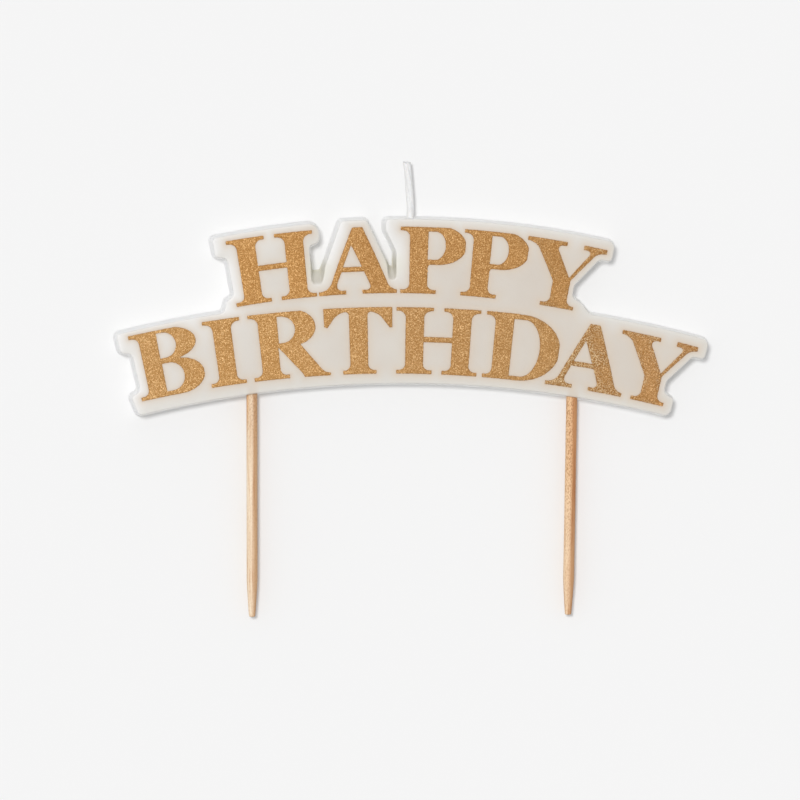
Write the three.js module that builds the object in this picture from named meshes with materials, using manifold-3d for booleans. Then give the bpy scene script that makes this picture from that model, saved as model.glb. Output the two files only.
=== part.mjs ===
// A moulded wax birthday candle. A flat plaque, shaped round two arched rows of capital letters, carries one
// wick in its top edge and stands in a cake on two wooden picks that are cast into its bottom edge.
// Millimetres, +Z up, the lettered front towards -Y. The origin is midway between the tips of the picks.
import * as THREE from 'three';
import { mergeVertices } from 'three/addons/utils/BufferGeometryUtils.js';
import Module from 'manifold-3d';

const wasm = await Module();
wasm.setup();

// The lettering that the plaque is shaped round: two rows of capitals, each standing on an arc of its own.
// The crests of the arcs lie a little to the left of the middle. Places along a row are measured along its
// baseline from the crest.
const LETTER_HEIGHT = 17.1;
const UPPER_BASELINE_RADIUS = 224.2;
const LOWER_BASELINE_RADIUS = 278.7;
const UPPER_CREST_X = -2.4;
const LOWER_CREST_X = -3.4;
const UPPER_LEFT_END = -45.2;
const UPPER_RIGHT_END = 51.1;
const LOWER_LEFT_END = -68;
const LOWER_RIGHT_END = 75.7;
const ROW_GAP = 0.4;

// The wax plaque
const PLAQUE_THICKNESS = 6;
const MARGIN_ABOVE = 2.8;
const MARGIN_BELOW = 2.6;
const WALL_DRAFT = 0.25;
const FRONT_EDGE_RADIUS = 1;

// The lobes at the left end of a row, round the head and the foot of a letter with an upright stem. Depths
// are measured down from the top edge, heights up from the baseline and insets in from the row's end.
const HEAD_LOBE_DEPTH = 6.1;
const HEAD_LOBE_SLOPE = 0.6;
const HEAD_LOBE_WIDTH = 2.6;
const LEFT_FOOT_HEIGHT = 3.6;
const LEFT_FOOT_SLANT = 1;
const UPPER_LEFT_FOOT_INSET = 0.8;
const LOWER_LEFT_FOOT_INSET = -0.2;

// The lobes at the right end of a row, round the raised arm and the foot of a letter that narrows downwards
const ARM_LOBE_DEPTH = 6.3;
const ARM_LOBE_WIDTH = 3.1;
const ARM_SPREAD = 7.6;
const RIGHT_STEM_LENGTH = 2.5;
const RIGHT_FOOT_HEIGHT = 3.1;
const UPPER_RIGHT_FOOT_INSET = 5.6;
const LOWER_RIGHT_FOOT_INSET = 4.7;

// How far a foot lobe's upper side rises to the stem, at both ends
const FOOT_LOBE_SLOPE = 0.8;

// The shoulders where the upper row's feet stand on the lower row's top edge
const LEFT_SHOULDER_FLARE = 0.8;
const RIGHT_SHOULDER_FLARE = 2.5;

// The pointed second letter of the upper row, with a notch on each side, and the slanting head lobe beyond
const PEAK_PLACE = -11.2;
const PEAK_WIDTH = 6.8;
const PEAK_SPREAD = 5.2;
const NOTCH_FLOOR_HEIGHT = 7.4;
const LEFT_NOTCH_FLOOR = 1.8;
const RIGHT_NOTCH_FLOOR = 0.6;
const NOTCH_DRAFT = 2.2;
const SLANT_LOBE_DEPTH = 3.5;
const SLANT_LOBE_DROP = 5.5;
const SLANT_LOBE_WIDTH = 2.4;

// The radii that round the outline's corners
const TIGHT_RADIUS = 1.6;
const LOBE_RADIUS = 2.3;
const ROUND_LOBE_RADIUS = 3;
const INNER_RADIUS = 0.8;

// The share of a wall that a fillet may use, where the wall's other end is rounded too and where it is sharp
const SHARE_BY_ROUND = 0.5;
const SHARE_BY_SHARP = 0.9;

// The picks
const PICK_DIAMETER = 2.8;
const PICK_SPACING = 80.4;
const PICK_EXPOSED = 56;
const PICK_DEPTH = 18;
const PICK_TAPER_LENGTH = 9.3;
const PICK_TAPER_BULGE = 0.03;
const PICK_TIP_DIAMETER = 1.6;
const PICK_TIP_CHAMFER = 0.3;
const PICK_END_CHAMFER = 0.3;
const RIGHT_PICK_LEAN = THREE.MathUtils.degToRad(0.95);

// The wick
const WICK_DIAMETER = 2;
const WICK_X = 0;
const WICK_EXPOSED = 13.9;
const WICK_DEPTH = 32;
const WICK_SWAY = 1;

// The space left between the wax and what is cast into it
const CAST_CLEARANCE = 0.3;

// How finely round forms are divided
const FILLET_STEP = THREE.MathUtils.degToRad(18);
const ARC_STEP = 5;
const EDGE_STEPS = 4;
const TAPER_STEPS = 4;
const WICK_STEPS = 12;
const ROUND_SIDES = 32;

const leftPickX = -PICK_SPACING / 2;
const rightPickX = PICK_SPACING / 2;
const frontY = -PLAQUE_THICKNESS / 2;
const backY = PLAQUE_THICKNESS / 2;
const top = LETTER_HEIGHT + MARGIN_ABOVE;
const bottom = -MARGIN_BELOW;
const headLobe = top - HEAD_LOBE_DEPTH;
const headLobeRoot = headLobe - HEAD_LOBE_SLOPE;
const armLobe = top - ARM_LOBE_DEPTH;
const leftStemStart = LEFT_FOOT_HEIGHT + FOOT_LOBE_SLOPE;
const rightStemStart = RIGHT_FOOT_HEIGHT + FOOT_LOBE_SLOPE;
const waist = rightStemStart + RIGHT_STEM_LENGTH;

// Each row is an arc that the letters stand on. The lower one is set so that the bottom edge of the wax
// meets the left pick where its bare stretch ends, and the upper one stands on the lower one's top edge.
const lowerEdgeRadius = LOWER_BASELINE_RADIUS + bottom;
const lowerRow = {
  radius: LOWER_BASELINE_RADIUS,
  centreX: LOWER_CREST_X,
  centreZ: PICK_EXPOSED - Math.sqrt(lowerEdgeRadius ** 2 - (leftPickX - LOWER_CREST_X) ** 2),
  left: LOWER_LEFT_END,
  leftFoot: LOWER_LEFT_END + LOWER_LEFT_FOOT_INSET,
  right: LOWER_RIGHT_END,
  rightFoot: LOWER_RIGHT_END - LOWER_RIGHT_FOOT_INSET,
};
const rowPitch = top + ROW_GAP;
const upperRow = {
  radius: UPPER_BASELINE_RADIUS,
  centreX: UPPER_CREST_X,
  centreZ: lowerRow.centreZ + LOWER_BASELINE_RADIUS + rowPitch - UPPER_BASELINE_RADIUS,
  left: UPPER_LEFT_END,
  leftFoot: UPPER_LEFT_END + UPPER_LEFT_FOOT_INSET,
  right: UPPER_RIGHT_END,
  rightFoot: UPPER_RIGHT_END - UPPER_RIGHT_FOOT_INSET,
};

// A point given along a row's baseline and above it
function rowPoint(row, along, above) {
  const angle = along / row.radius;
  const reach = row.radius + above;
  return new THREE.Vector2(row.centreX + reach * Math.sin(angle), row.centreZ + reach * Math.cos(angle));
}

// The place along a row's baseline of the point of its top edge that has this x
function alongTopAt(row, x) {
  return row.radius * Math.asin((x - row.centreX) / (row.radius + top));
}

// A corner of the outline with the radius that rounds it. The draft is that of the wall that starts at the
// corner: the floors of the two notches slope far more than the rest.
function rowCorner(row, along, above, radius, draft = WALL_DRAFT) {
  return { row, along, above, radius, draft, point: rowPoint(row, along, above) };
}

// The left end of a row, from the foot up: foot lobe, side of the stem and head lobe
function leftEnd(row) {
  const stem = row.left + HEAD_LOBE_WIDTH;
  return [
    rowCorner(row, row.leftFoot, LEFT_FOOT_HEIGHT, TIGHT_RADIUS),
    rowCorner(row, stem, leftStemStart, INNER_RADIUS),
    rowCorner(row, stem, headLobeRoot, INNER_RADIUS),
    rowCorner(row, row.left, headLobe, LOBE_RADIUS),
    rowCorner(row, row.left, top, TIGHT_RADIUS),
  ];
}

// The right end of a row, from the top down: arm lobe, slanting side, stem and foot lobe
function rightEnd(row) {
  const stem = row.right - ARM_SPREAD;
  return [
    rowCorner(row, row.right, top, LOBE_RADIUS),
    rowCorner(row, row.right, armLobe, LOBE_RADIUS),
    rowCorner(row, row.right - ARM_LOBE_WIDTH, armLobe, INNER_RADIUS),
    rowCorner(row, stem, waist, INNER_RADIUS),
    rowCorner(row, stem, rightStemStart, INNER_RADIUS),
    rowCorner(row, row.rightFoot, RIGHT_FOOT_HEIGHT, TIGHT_RADIUS),
  ];
}

// From the upper row's first letter to its third: a head lobe and a notch, the pointed letter, then the other
// notch and a head lobe with a slanting underside
function notchCorners() {
  const peakLeft = PEAK_PLACE - PEAK_WIDTH / 2;
  const peakRight = PEAK_PLACE + PEAK_WIDTH / 2;
  const firstSide = peakLeft - PEAK_SPREAD - LEFT_NOTCH_FLOOR;
  const thirdSide = peakRight + PEAK_SPREAD + RIGHT_NOTCH_FLOOR;
  const firstHead = firstSide + HEAD_LOBE_WIDTH;
  const thirdHead = thirdSide - SLANT_LOBE_WIDTH;
  const slantLobe = top - SLANT_LOBE_DEPTH;
  return [
    rowCorner(upperRow, firstHead, top, ROUND_LOBE_RADIUS),
    rowCorner(upperRow, firstHead, headLobe, LOBE_RADIUS),
    rowCorner(upperRow, firstSide, headLobeRoot, 0),
    rowCorner(upperRow, firstSide, NOTCH_FLOOR_HEIGHT, 0, NOTCH_DRAFT),
    rowCorner(upperRow, peakLeft - PEAK_SPREAD, NOTCH_FLOOR_HEIGHT, 0),
    rowCorner(upperRow, peakLeft, top, TIGHT_RADIUS),
    rowCorner(upperRow, peakRight, top, TIGHT_RADIUS),
    rowCorner(upperRow, peakRight + PEAK_SPREAD, NOTCH_FLOOR_HEIGHT, 0, NOTCH_DRAFT),
    rowCorner(upperRow, thirdSide, NOTCH_FLOOR_HEIGHT, 0),
    rowCorner(upperRow, thirdSide, slantLobe - SLANT_LOBE_DROP, INNER_RADIUS),
    rowCorner(upperRow, thirdHead, slantLobe, LOBE_RADIUS),
    rowCorner(upperRow, thirdHead, top, TIGHT_RADIUS),
  ];
}

// The corners of the outline, clockwise from the front
function outlineCorners() {
  const leftFootX = rowPoint(upperRow, upperRow.leftFoot, LEFT_FOOT_HEIGHT).x;
  const rightFootX = rowPoint(upperRow, upperRow.rightFoot, RIGHT_FOOT_HEIGHT).x;
  const leftShoulder = alongTopAt(lowerRow, leftFootX - LEFT_SHOULDER_FLARE);
  const rightShoulder = alongTopAt(lowerRow, rightFootX + RIGHT_SHOULDER_FLARE);
  return [
    rowCorner(lowerRow, lowerRow.leftFoot + LEFT_FOOT_SLANT, bottom, TIGHT_RADIUS),
    ...leftEnd(lowerRow),
    rowCorner(lowerRow, leftShoulder, top, INNER_RADIUS),
    ...leftEnd(upperRow),
    ...notchCorners(),
    ...rightEnd(upperRow),
    rowCorner(lowerRow, rightShoulder, top, INNER_RADIUS),
    ...rightEnd(lowerRow),
    rowCorner(lowerRow, lowerRow.rightFoot, bottom, LOBE_RADIUS),
  ];
}

// Between two corners of one row at one height the edge follows the row's arc
function withArcPoints(corners) {
  return corners.flatMap((corner, index) => {
    const next = corners[(index + 1) % corners.length];
    const span = next.along - corner.along;
    const follows = corner.row === next.row && corner.above === next.above;
    const steps = follows ? Math.max(1, Math.round(Math.abs(span) / ARC_STEP)) : 1;
    const between = [];
    for (let step = 1; step < steps; step += 1) {
      between.push(rowCorner(corner.row, corner.along + (span * step) / steps, corner.above, 0));
    }
    return [corner, ...between];
  });
}

// How much of the wall from a corner to its neighbour the corner's fillet may use
function filletRoom(corner, neighbour) {
  const share = neighbour.radius > 0 ? SHARE_BY_ROUND : SHARE_BY_SHARP;
  return share * corner.point.distanceTo(neighbour.point);
}

// The points of the arc that rounds one corner, or the corner itself where its radius is 0
function filletPoints(before, corner, after) {
  const towardsBefore = before.point.clone().sub(corner.point).normalize();
  const towardsAfter = after.point.clone().sub(corner.point).normalize();
  const turn = Math.PI - towardsBefore.angleTo(towardsAfter);
  if (corner.radius === 0) {
    return [{ point: corner.point, draft: corner.draft }];
  }
  const room = Math.min(filletRoom(corner, before), filletRoom(corner, after));
  const tangentLength = Math.min(corner.radius * Math.tan(turn / 2), room);
  const start = corner.point.clone().addScaledVector(towardsBefore, tangentLength);
  const end = corner.point.clone().addScaledVector(towardsAfter, tangentLength);
  const middle = towardsBefore.clone().add(towardsAfter).normalize();
  const centre = corner.point.clone().addScaledVector(middle, tangentLength / Math.sin(turn / 2));
  const side = Math.sign(start.clone().sub(centre).cross(end.clone().sub(centre)));
  const steps = Math.max(2, Math.ceil(turn / FILLET_STEP));
  const points = [];
  for (let step = 0; step <= steps; step += 1) {
    const point = start.clone().rotateAround(centre, (side * turn * step) / steps);
    points.push({ point, draft: corner.draft });
  }
  return points;
}

function plaqueOutline() {
  const corners = withArcPoints(outlineCorners());
  const count = corners.length;
  return corners.flatMap((corner, index) =>
    filletPoints(corners[(index + count - 1) % count], corner, corners[(index + 1) % count]));
}

// Where the wall before a point and the wall after it meet once each has been moved in by its own distance
function insetPoint(outline, index, insetOf) {
  const count = outline.length;
  const before = outline[(index + count - 1) % count];
  const here = outline[index];
  const after = outline[(index + 1) % count];
  const along1 = here.point.clone().sub(before.point).normalize();
  const along2 = after.point.clone().sub(here.point).normalize();
  const inset1 = insetOf(before.draft);
  const inset2 = insetOf(here.draft);
  if (inset1 === inset2) {
    const inward = new THREE.Vector2(along1.y + along2.y, -along1.x - along2.x);
    return here.point.clone().addScaledVector(inward, inset1 / (1 + along1.dot(along2)));
  }
  const turn = along1.cross(along2);
  return here.point.clone().addScaledVector(along1, inset2 / turn).addScaledVector(along2, -inset1 / turn);
}

// Skins a stack of rings, each a closed loop of the same number of points, and closes both ends flat
function skinRings(rings, firstLoop, lastLoop) {
  const count = rings[0].length;
  const positions = rings.flat().flatMap((point) => point.toArray());
  const faces = [];
  for (let ring = 0; ring + 1 < rings.length; ring += 1) {
    for (let index = 0; index < count; index += 1) {
      const next = (index + 1) % count;
      const low = ring * count;
      const high = low + count;
      faces.push(low + index, high + next, low + next);
      faces.push(low + index, high + index, high + next);
    }
  }
  for (const [a, b, c] of THREE.ShapeUtils.triangulateShape(firstLoop, [])) {
    faces.push(c, b, a);
  }
  const lastStart = (rings.length - 1) * count;
  for (const [a, b, c] of THREE.ShapeUtils.triangulateShape(lastLoop, [])) {
    faces.push(lastStart + a, lastStart + b, lastStart + c);
  }
  const geometry = new THREE.BufferGeometry();
  geometry.setAttribute('position', new THREE.Float32BufferAttribute(positions, 3));
  geometry.setIndex(faces);
  return geometry;
}

// The blank of the plaque: from the flat back the wall leans in by its draft, then rounds over to the front
function plaqueBlank() {
  const outline = plaqueOutline();
  const edgeRadius = Math.min(FRONT_EDGE_RADIUS, TIGHT_RADIUS - WALL_DRAFT, PLAQUE_THICKNESS / 2);
  const loopAt = (insetOf) => outline.map((_, index) => insetPoint(outline, index, insetOf));
  const placeAt = (loop, y) => loop.map((point) => new THREE.Vector3(point.x, y, point.y));
  const backLoop = outline.map(({ point }) => point);
  const rings = [placeAt(backLoop, backY)];
  let frontLoop = backLoop;
  for (let step = 0; step <= EDGE_STEPS; step += 1) {
    const angle = (Math.PI / 2) * (step / EDGE_STEPS);
    frontLoop = loopAt((draft) => draft + edgeRadius * (1 - Math.cos(angle)));
    rings.push(placeAt(frontLoop, frontY + edgeRadius * (1 - Math.sin(angle))));
  }
  return skinRings(rings, backLoop, frontLoop);
}

function toSolid(geometry) {
  const bare = geometry.clone();
  bare.deleteAttribute('normal');
  bare.deleteAttribute('uv');
  const merged = mergeVertices(bare);
  return new wasm.Manifold(new wasm.Mesh({
    numProp: 3,
    vertProperties: new Float32Array(merged.attributes.position.array),
    triVerts: new Uint32Array(merged.index.array),
  }));
}

function toGeometry(solid) {
  const { vertProperties, triVerts } = solid.getMesh();
  const geometry = new THREE.BufferGeometry();
  geometry.setAttribute('position', new THREE.BufferAttribute(vertProperties, 3));
  geometry.setIndex(new THREE.BufferAttribute(triVerts, 1));
  geometry.computeVertexNormals();
  return geometry;
}

// A turned pick, tip down at z = 0: a blunt tip, a taper that swells a little, the shaft and a chamfered top
// end. The socket that it leaves in the wax is the same form, grown all round by the clearance.
function pickProfile(grown) {
  const shaft = PICK_DIAMETER / 2 + grown;
  const tip = PICK_TIP_DIAMETER / 2 + grown;
  const length = PICK_EXPOSED + PICK_DEPTH + grown;
  const taper = new THREE.QuadraticBezierCurve(
    new THREE.Vector2(tip, PICK_TIP_CHAMFER),
    new THREE.Vector2((tip + shaft) / 2 + 2 * PICK_TAPER_BULGE, (PICK_TIP_CHAMFER + PICK_TAPER_LENGTH) / 2),
    new THREE.Vector2(shaft, PICK_TAPER_LENGTH),
  );
  return [
    new THREE.Vector2(0, -grown),
    new THREE.Vector2(tip - PICK_TIP_CHAMFER, -grown),
    ...taper.getPoints(TAPER_STEPS),
    new THREE.Vector2(shaft, length - PICK_END_CHAMFER),
    new THREE.Vector2(shaft - PICK_END_CHAMFER, length),
    new THREE.Vector2(0, length),
  ];
}

function pickGeometry(x, lean, grown = 0) {
  const geometry = new THREE.LatheGeometry(pickProfile(grown), ROUND_SIDES);
  geometry.rotateX(Math.PI / 2);
  geometry.rotateY(lean);
  geometry.translate(x, 0, 0);
  return geometry;
}

const wickEntryZ = upperRow.centreZ
  + Math.sqrt((UPPER_BASELINE_RADIUS + top) ** 2 - (WICK_X - UPPER_CREST_X) ** 2);

// The wick runs straight inside the wax and bends to the left above it
function wickPath() {
  const foot = new THREE.Vector3(WICK_X, 0, wickEntryZ - WICK_DEPTH);
  const entry = new THREE.Vector3(WICK_X, 0, wickEntryZ);
  const bend = new THREE.Vector3(WICK_X, 0, wickEntryZ + WICK_EXPOSED / 2);
  const end = new THREE.Vector3(WICK_X - WICK_SWAY, 0, wickEntryZ + WICK_EXPOSED);
  const path = new THREE.CurvePath();
  path.add(new THREE.LineCurve3(foot, entry));
  path.add(new THREE.QuadraticBezierCurve3(entry, bend, end));
  return path;
}

function tubeAlong(path, diameter, steps) {
  const section = new THREE.Shape();
  section.absarc(0, 0, diameter / 2, 0, Math.PI * 2);
  return new THREE.ExtrudeGeometry(section, { steps, curveSegments: ROUND_SIDES / 2, extrudePath: path });
}

function wickHole() {
  const path = new THREE.LineCurve3(
    new THREE.Vector3(WICK_X, 0, wickEntryZ - WICK_DEPTH - CAST_CLEARANCE),
    new THREE.Vector3(WICK_X, 0, wickEntryZ + WICK_EXPOSED),
  );
  return tubeAlong(path, WICK_DIAMETER + 2 * CAST_CLEARANCE, 1);
}

function plaqueGeometry() {
  const sockets = [
    pickGeometry(leftPickX, 0, CAST_CLEARANCE),
    pickGeometry(rightPickX, RIGHT_PICK_LEAN, CAST_CLEARANCE),
    wickHole(),
  ];
  const plaque = sockets.reduce((solid, socket) => solid.subtract(toSolid(socket)), toSolid(plaqueBlank()));
  return toGeometry(plaque);
}

function piece(name, geometry, color, roughness) {
  const material = new THREE.MeshStandardMaterial({ color, roughness, metalness: 0 });
  const mesh = new THREE.Mesh(geometry, material);
  mesh.name = name;
  return mesh;
}

const candle = new THREE.Group();
candle.add(
  piece('wax_plaque', plaqueGeometry(), 0xe2d9cf, 0.5),
  piece('wick', tubeAlong(wickPath(), WICK_DIAMETER, WICK_STEPS), 0xf0eee8, 0.8),
  piece('left_pick', pickGeometry(leftPickX, 0), 0xe8c49b, 0.7),
  piece('right_pick', pickGeometry(rightPickX, RIGHT_PICK_LEAN), 0xe0a878, 0.7),
);

export default candle;
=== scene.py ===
import math

import bmesh
import bpy
import numpy as np
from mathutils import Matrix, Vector, kdtree, noise
from mathutils.geometry import delaunay_2d_cdt


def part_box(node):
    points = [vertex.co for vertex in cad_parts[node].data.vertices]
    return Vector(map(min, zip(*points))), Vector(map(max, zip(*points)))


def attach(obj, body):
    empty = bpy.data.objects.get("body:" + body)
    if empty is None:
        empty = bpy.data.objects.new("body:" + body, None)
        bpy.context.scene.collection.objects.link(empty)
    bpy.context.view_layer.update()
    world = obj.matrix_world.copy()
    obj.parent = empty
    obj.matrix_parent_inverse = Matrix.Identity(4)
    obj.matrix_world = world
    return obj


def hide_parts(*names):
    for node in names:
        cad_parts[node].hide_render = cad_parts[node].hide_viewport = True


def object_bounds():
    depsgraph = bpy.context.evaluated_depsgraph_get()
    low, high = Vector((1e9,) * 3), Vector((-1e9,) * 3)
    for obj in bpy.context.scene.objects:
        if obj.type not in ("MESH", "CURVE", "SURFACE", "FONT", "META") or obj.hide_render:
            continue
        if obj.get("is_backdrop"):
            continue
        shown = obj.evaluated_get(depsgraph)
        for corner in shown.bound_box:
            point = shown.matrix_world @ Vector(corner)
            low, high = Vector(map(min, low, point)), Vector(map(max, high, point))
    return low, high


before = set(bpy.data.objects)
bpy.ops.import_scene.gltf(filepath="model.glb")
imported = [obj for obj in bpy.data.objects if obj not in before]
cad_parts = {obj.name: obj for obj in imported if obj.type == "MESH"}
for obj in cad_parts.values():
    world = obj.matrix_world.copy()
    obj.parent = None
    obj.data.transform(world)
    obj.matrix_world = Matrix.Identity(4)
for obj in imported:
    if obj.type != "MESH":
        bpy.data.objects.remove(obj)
cad_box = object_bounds()

MM = 0.001


# The wax plaque: one slab of ivory paraffin wax, poured into an open mould. The mould gives it the lobed
# outline, the drafted walls, the rounded front edge and the sloping floors of the two notches, and the open
# side gives it a flat, slightly uneven back. Its outline is read from the frame and rounded off a little.
PLAQUE_INSET = 0.12 * MM
OUTLINE_SPACING = 0.25 * MM
OUTLINE_ROUNDING = 0.17 * MM
WALL_DRAFT = 0.45 * MM
LIP_REACH = 0.18 * MM
LIP_DEPTH = 0.45 * MM
LIP_FALL = 0.15 * MM
NOTCH_SLOPE = 2.9 * MM
FRONT_ROUND = 0.33 * MM
BACK_ROUND = 0.22 * MM
NOTCH_BLEND = 0.5 * MM
NOTCH_RISE = 3.5 * MM
NOTCH_REACH = 6 * MM
FACE_SPACING = 0.45 * MM
BACK_SPACING = 0.85 * MM
FACE_WAVE = 0.012 * MM
FACE_WAVE_LENGTH = 9 * MM
BACK_WAVE = 0.07 * MM
EDGE_FADE_WIDTH = 4.5 * MM
VALLEY_REACH = 2.6 * MM
LIT_RIM_REACH = 6.0 * MM
TOWARDS_LAMP = (0.94, -0.34)
RIM_DEPTH = 1.0 * MM
RIM_WIDTH = 0.9 * MM
EDGE_BLUR = 0.5 * MM
EDGE_SKIP = 3
LIT_GAIN = 1.1
SIDE_GAIN = 0.7
BACK_STEPS = 4
LIP_STEPS = 2
WALL_STEPS = 8
FRONT_STEPS = 8
NOTCH_GAIN = 1.4
NOTCH_CURVE = 1.3
RELIEF_REACH = 3 * MM
RELIEF_MARGIN = 0.4
FILL_CLEARANCE = 0.6


def back_outline(node):
    """The outline of a plate's flat back, as points (x, z) in order round it, counterclockwise."""
    mesh = bmesh.new()
    mesh.from_mesh(node.data)
    bmesh.ops.remove_doubles(mesh, verts=mesh.verts, dist=1e-7)
    back = max(vert.co.y for vert in mesh.verts)
    flat = {face for face in mesh.faces if all(back - vert.co.y < 1e-6 for vert in face.verts)}
    neighbours = {}
    for edge in mesh.edges:
        if sum(face in flat for face in edge.link_faces) == 1:
            first, second = edge.verts
            neighbours.setdefault(first, []).append(second)
            neighbours.setdefault(second, []).append(first)
    start = next(iter(neighbours))
    loop, before, here = [start], start, neighbours[start][0]
    while here is not start:
        loop.append(here)
        before, here = here, next(vert for vert in neighbours[here] if vert is not before)
    points = np.array([(vert.co.x, vert.co.z) for vert in loop])
    mesh.free()
    return points if loop_area(points) > 0 else points[::-1]


def loop_area(loop):
    x, z = loop.T
    return float(np.sum(x * np.roll(z, -1) - np.roll(x, -1) * z)) / 2


def spaced(loop, spacing):
    """The same closed loop with its points an even distance apart."""
    closed = np.vstack([loop, loop[:1]])
    reach = np.concatenate([[0], np.cumsum(np.linalg.norm(np.diff(closed, axis=0), axis=1))])
    count = max(8, round(reach[-1] / spacing))
    places = np.arange(count) * reach[-1] / count
    return np.column_stack([np.interp(places, reach, closed[:, axis]) for axis in (0, 1)])


def softened(values, spacing, width):
    """Values given along a closed loop, blurred along it by that width."""
    waves = np.fft.fftfreq(len(values), spacing)
    fade = np.exp(-2 * (math.pi * waves * width) ** 2)
    fade = fade.reshape(-1, *[1] * (values.ndim - 1))
    return np.real(np.fft.ifft(np.fft.fft(values, axis=0) * fade, axis=0))


def inward(loop):
    """The unit normals of a loop, towards the material on its left."""
    along = np.roll(loop, -1, axis=0) - np.roll(loop, 1, axis=0)
    along /= np.linalg.norm(along, axis=1, keepdims=True)
    return np.column_stack([-along[:, 1], along[:, 0]])


def nearest(points, targets, block=2000):
    """Each point's distance to the nearest of the targets."""
    found = []
    for start in range(0, len(points), block):
        gaps = points[start:start + block, None, :] - targets[None, :, :]
        found.append(np.sqrt((gaps ** 2).sum(axis=2).min(axis=1)))
    return np.concatenate(found) if found else np.zeros(0)


def inside(points, loops, block=2000):
    """Whether each point lies inside the loops, holes left out."""
    starts = np.vstack(loops)
    ends = np.vstack([np.roll(loop, -1, axis=0) for loop in loops])
    rise = ends[:, 1] - starts[:, 1]
    rise[rise == 0] = 1e-12
    found = []
    for start in range(0, len(points), block):
        x, z = points[start:start + block].T[:, :, None]
        crosses = (starts[:, 1] > z) != (ends[:, 1] > z)
        left = x < starts[:, 0] + (z - starts[:, 1]) * (ends[:, 0] - starts[:, 0]) / rise
        found.append((crosses & left).sum(axis=1) % 2 == 1)
    return np.concatenate(found)


def inner_points(loops, spacing):
    """A hexagonal pattern of points that fills the loops, clear of their edges."""
    edge = np.vstack(loops)
    low, high = edge.min(axis=0), edge.max(axis=0)
    rows = np.arange(low[1], high[1], spacing * math.sqrt(3) / 2)
    columns = np.arange(low[0], high[0], spacing)
    grid = [(x + spacing / 2 * (index % 2), z) for index, z in enumerate(rows) for x in columns]
    grid = np.array(grid)
    grid = grid[inside(grid, loops)]
    return grid[nearest(grid, edge) > FILL_CLEARANCE * spacing]


def new_object(name, data):
    piece = bpy.data.objects.new(name, data)
    bpy.context.scene.collection.objects.link(piece)
    return piece


def plate(name, rings, spacings, relief):
    """A closed plate: walls that follow the rings from back to front, and both ends filled.

    Each ring is a list of closed loops, and the ring's y. relief(x, z, end) is how far a filling point stands
    back from its end, 0 for the back and 1 for the front. The spacings are those of the filling points.
    """
    points, faces, ends = [], [], {0: [], 1: []}
    for index in range(len(rings[0][0])):
        base, count = len(points), len(rings[0][0][index])
        for loops, y in rings:
            points.extend((x, y, z) for x, z in loops[index])
        for ring in range(len(rings) - 1):
            low = base + ring * count
            for step in range(count):
                after = (step + 1) % count
                faces.append((low + step, low + after, low + count + after, low + count + step))
        last = base + (len(rings) - 1) * count
        ends[0].append(range(base, base + count))
        ends[1].append(range(last, last + count))
    for end, loops_here in ends.items():
        edge_loops = [np.array([(points[i][0], points[i][2]) for i in loop]) for loop in loops_here]
        fill = inner_points(edge_loops, spacings[end])
        y = rings[0][1] if end == 0 else rings[-1][1]
        known = [i for loop in loops_here for i in loop]
        flat = [Vector((points[i][0], points[i][2])) for i in known] + [Vector(place) for place in fill]
        for x, z in fill:
            known.append(len(points))
            points.append((x, y + relief(x, z, end), z))
        edges, first = [], 0
        for loop in loops_here:
            count = len(loop)
            edges.extend((first + step, first + (step + 1) % count) for step in range(count))
            first += count
        places, _, triangles, origins, _, _ = delaunay_2d_cdt(flat, edges, [], 1, 1e-9)
        places = np.array([tuple(place) for place in places])
        middles = places[np.array(triangles)].mean(axis=1)
        for triangle, is_filled in zip(triangles, inside(middles, edge_loops)):
            if is_filled:
                faces.append(tuple(known[origins[i][0]] for i in triangle))
    mesh = bpy.data.meshes.new(name)
    mesh.from_pydata(points, [], faces)
    work = bmesh.new()
    work.from_mesh(mesh)
    bmesh.ops.recalc_face_normals(work, faces=work.faces)
    work.to_mesh(mesh)
    work.free()
    mesh.shade_smooth()
    return new_object(name, mesh)


def add_attribute(piece, name, values):
    layer = piece.data.attributes.new(name, "FLOAT", "POINT")
    layer.data.foreach_set("value", np.asarray(values, dtype=np.float32))


plaque_low, plaque_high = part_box("wax_plaque")
front_y = plaque_low.y + PLAQUE_INSET
back_y = plaque_high.y
outline = spaced(back_outline(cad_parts["wax_plaque"]), OUTLINE_SPACING)
outline = softened(outline, OUTLINE_SPACING, OUTLINE_ROUNDING)


def notch_shares(loop):
    """How far each point of the outline belongs to the floor of a notch, from 0 to 1."""
    reach = round(NOTCH_REACH / OUTLINE_SPACING)
    z = loop[:, 1]
    before = np.max([np.roll(z, step) for step in range(1, reach)], axis=0)
    after = np.max([np.roll(z, -step) for step in range(1, reach)], axis=0)
    around = np.min([np.roll(z, step) for step in range(-reach, reach + 1)], axis=0)
    deep = (before - z > NOTCH_RISE) & (after - z > NOTCH_RISE)
    floor = (deep & (z - around < NOTCH_BLEND)).astype(float)
    return np.clip(softened(floor, OUTLINE_SPACING, NOTCH_BLEND) * NOTCH_GAIN, 0, 1)


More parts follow.
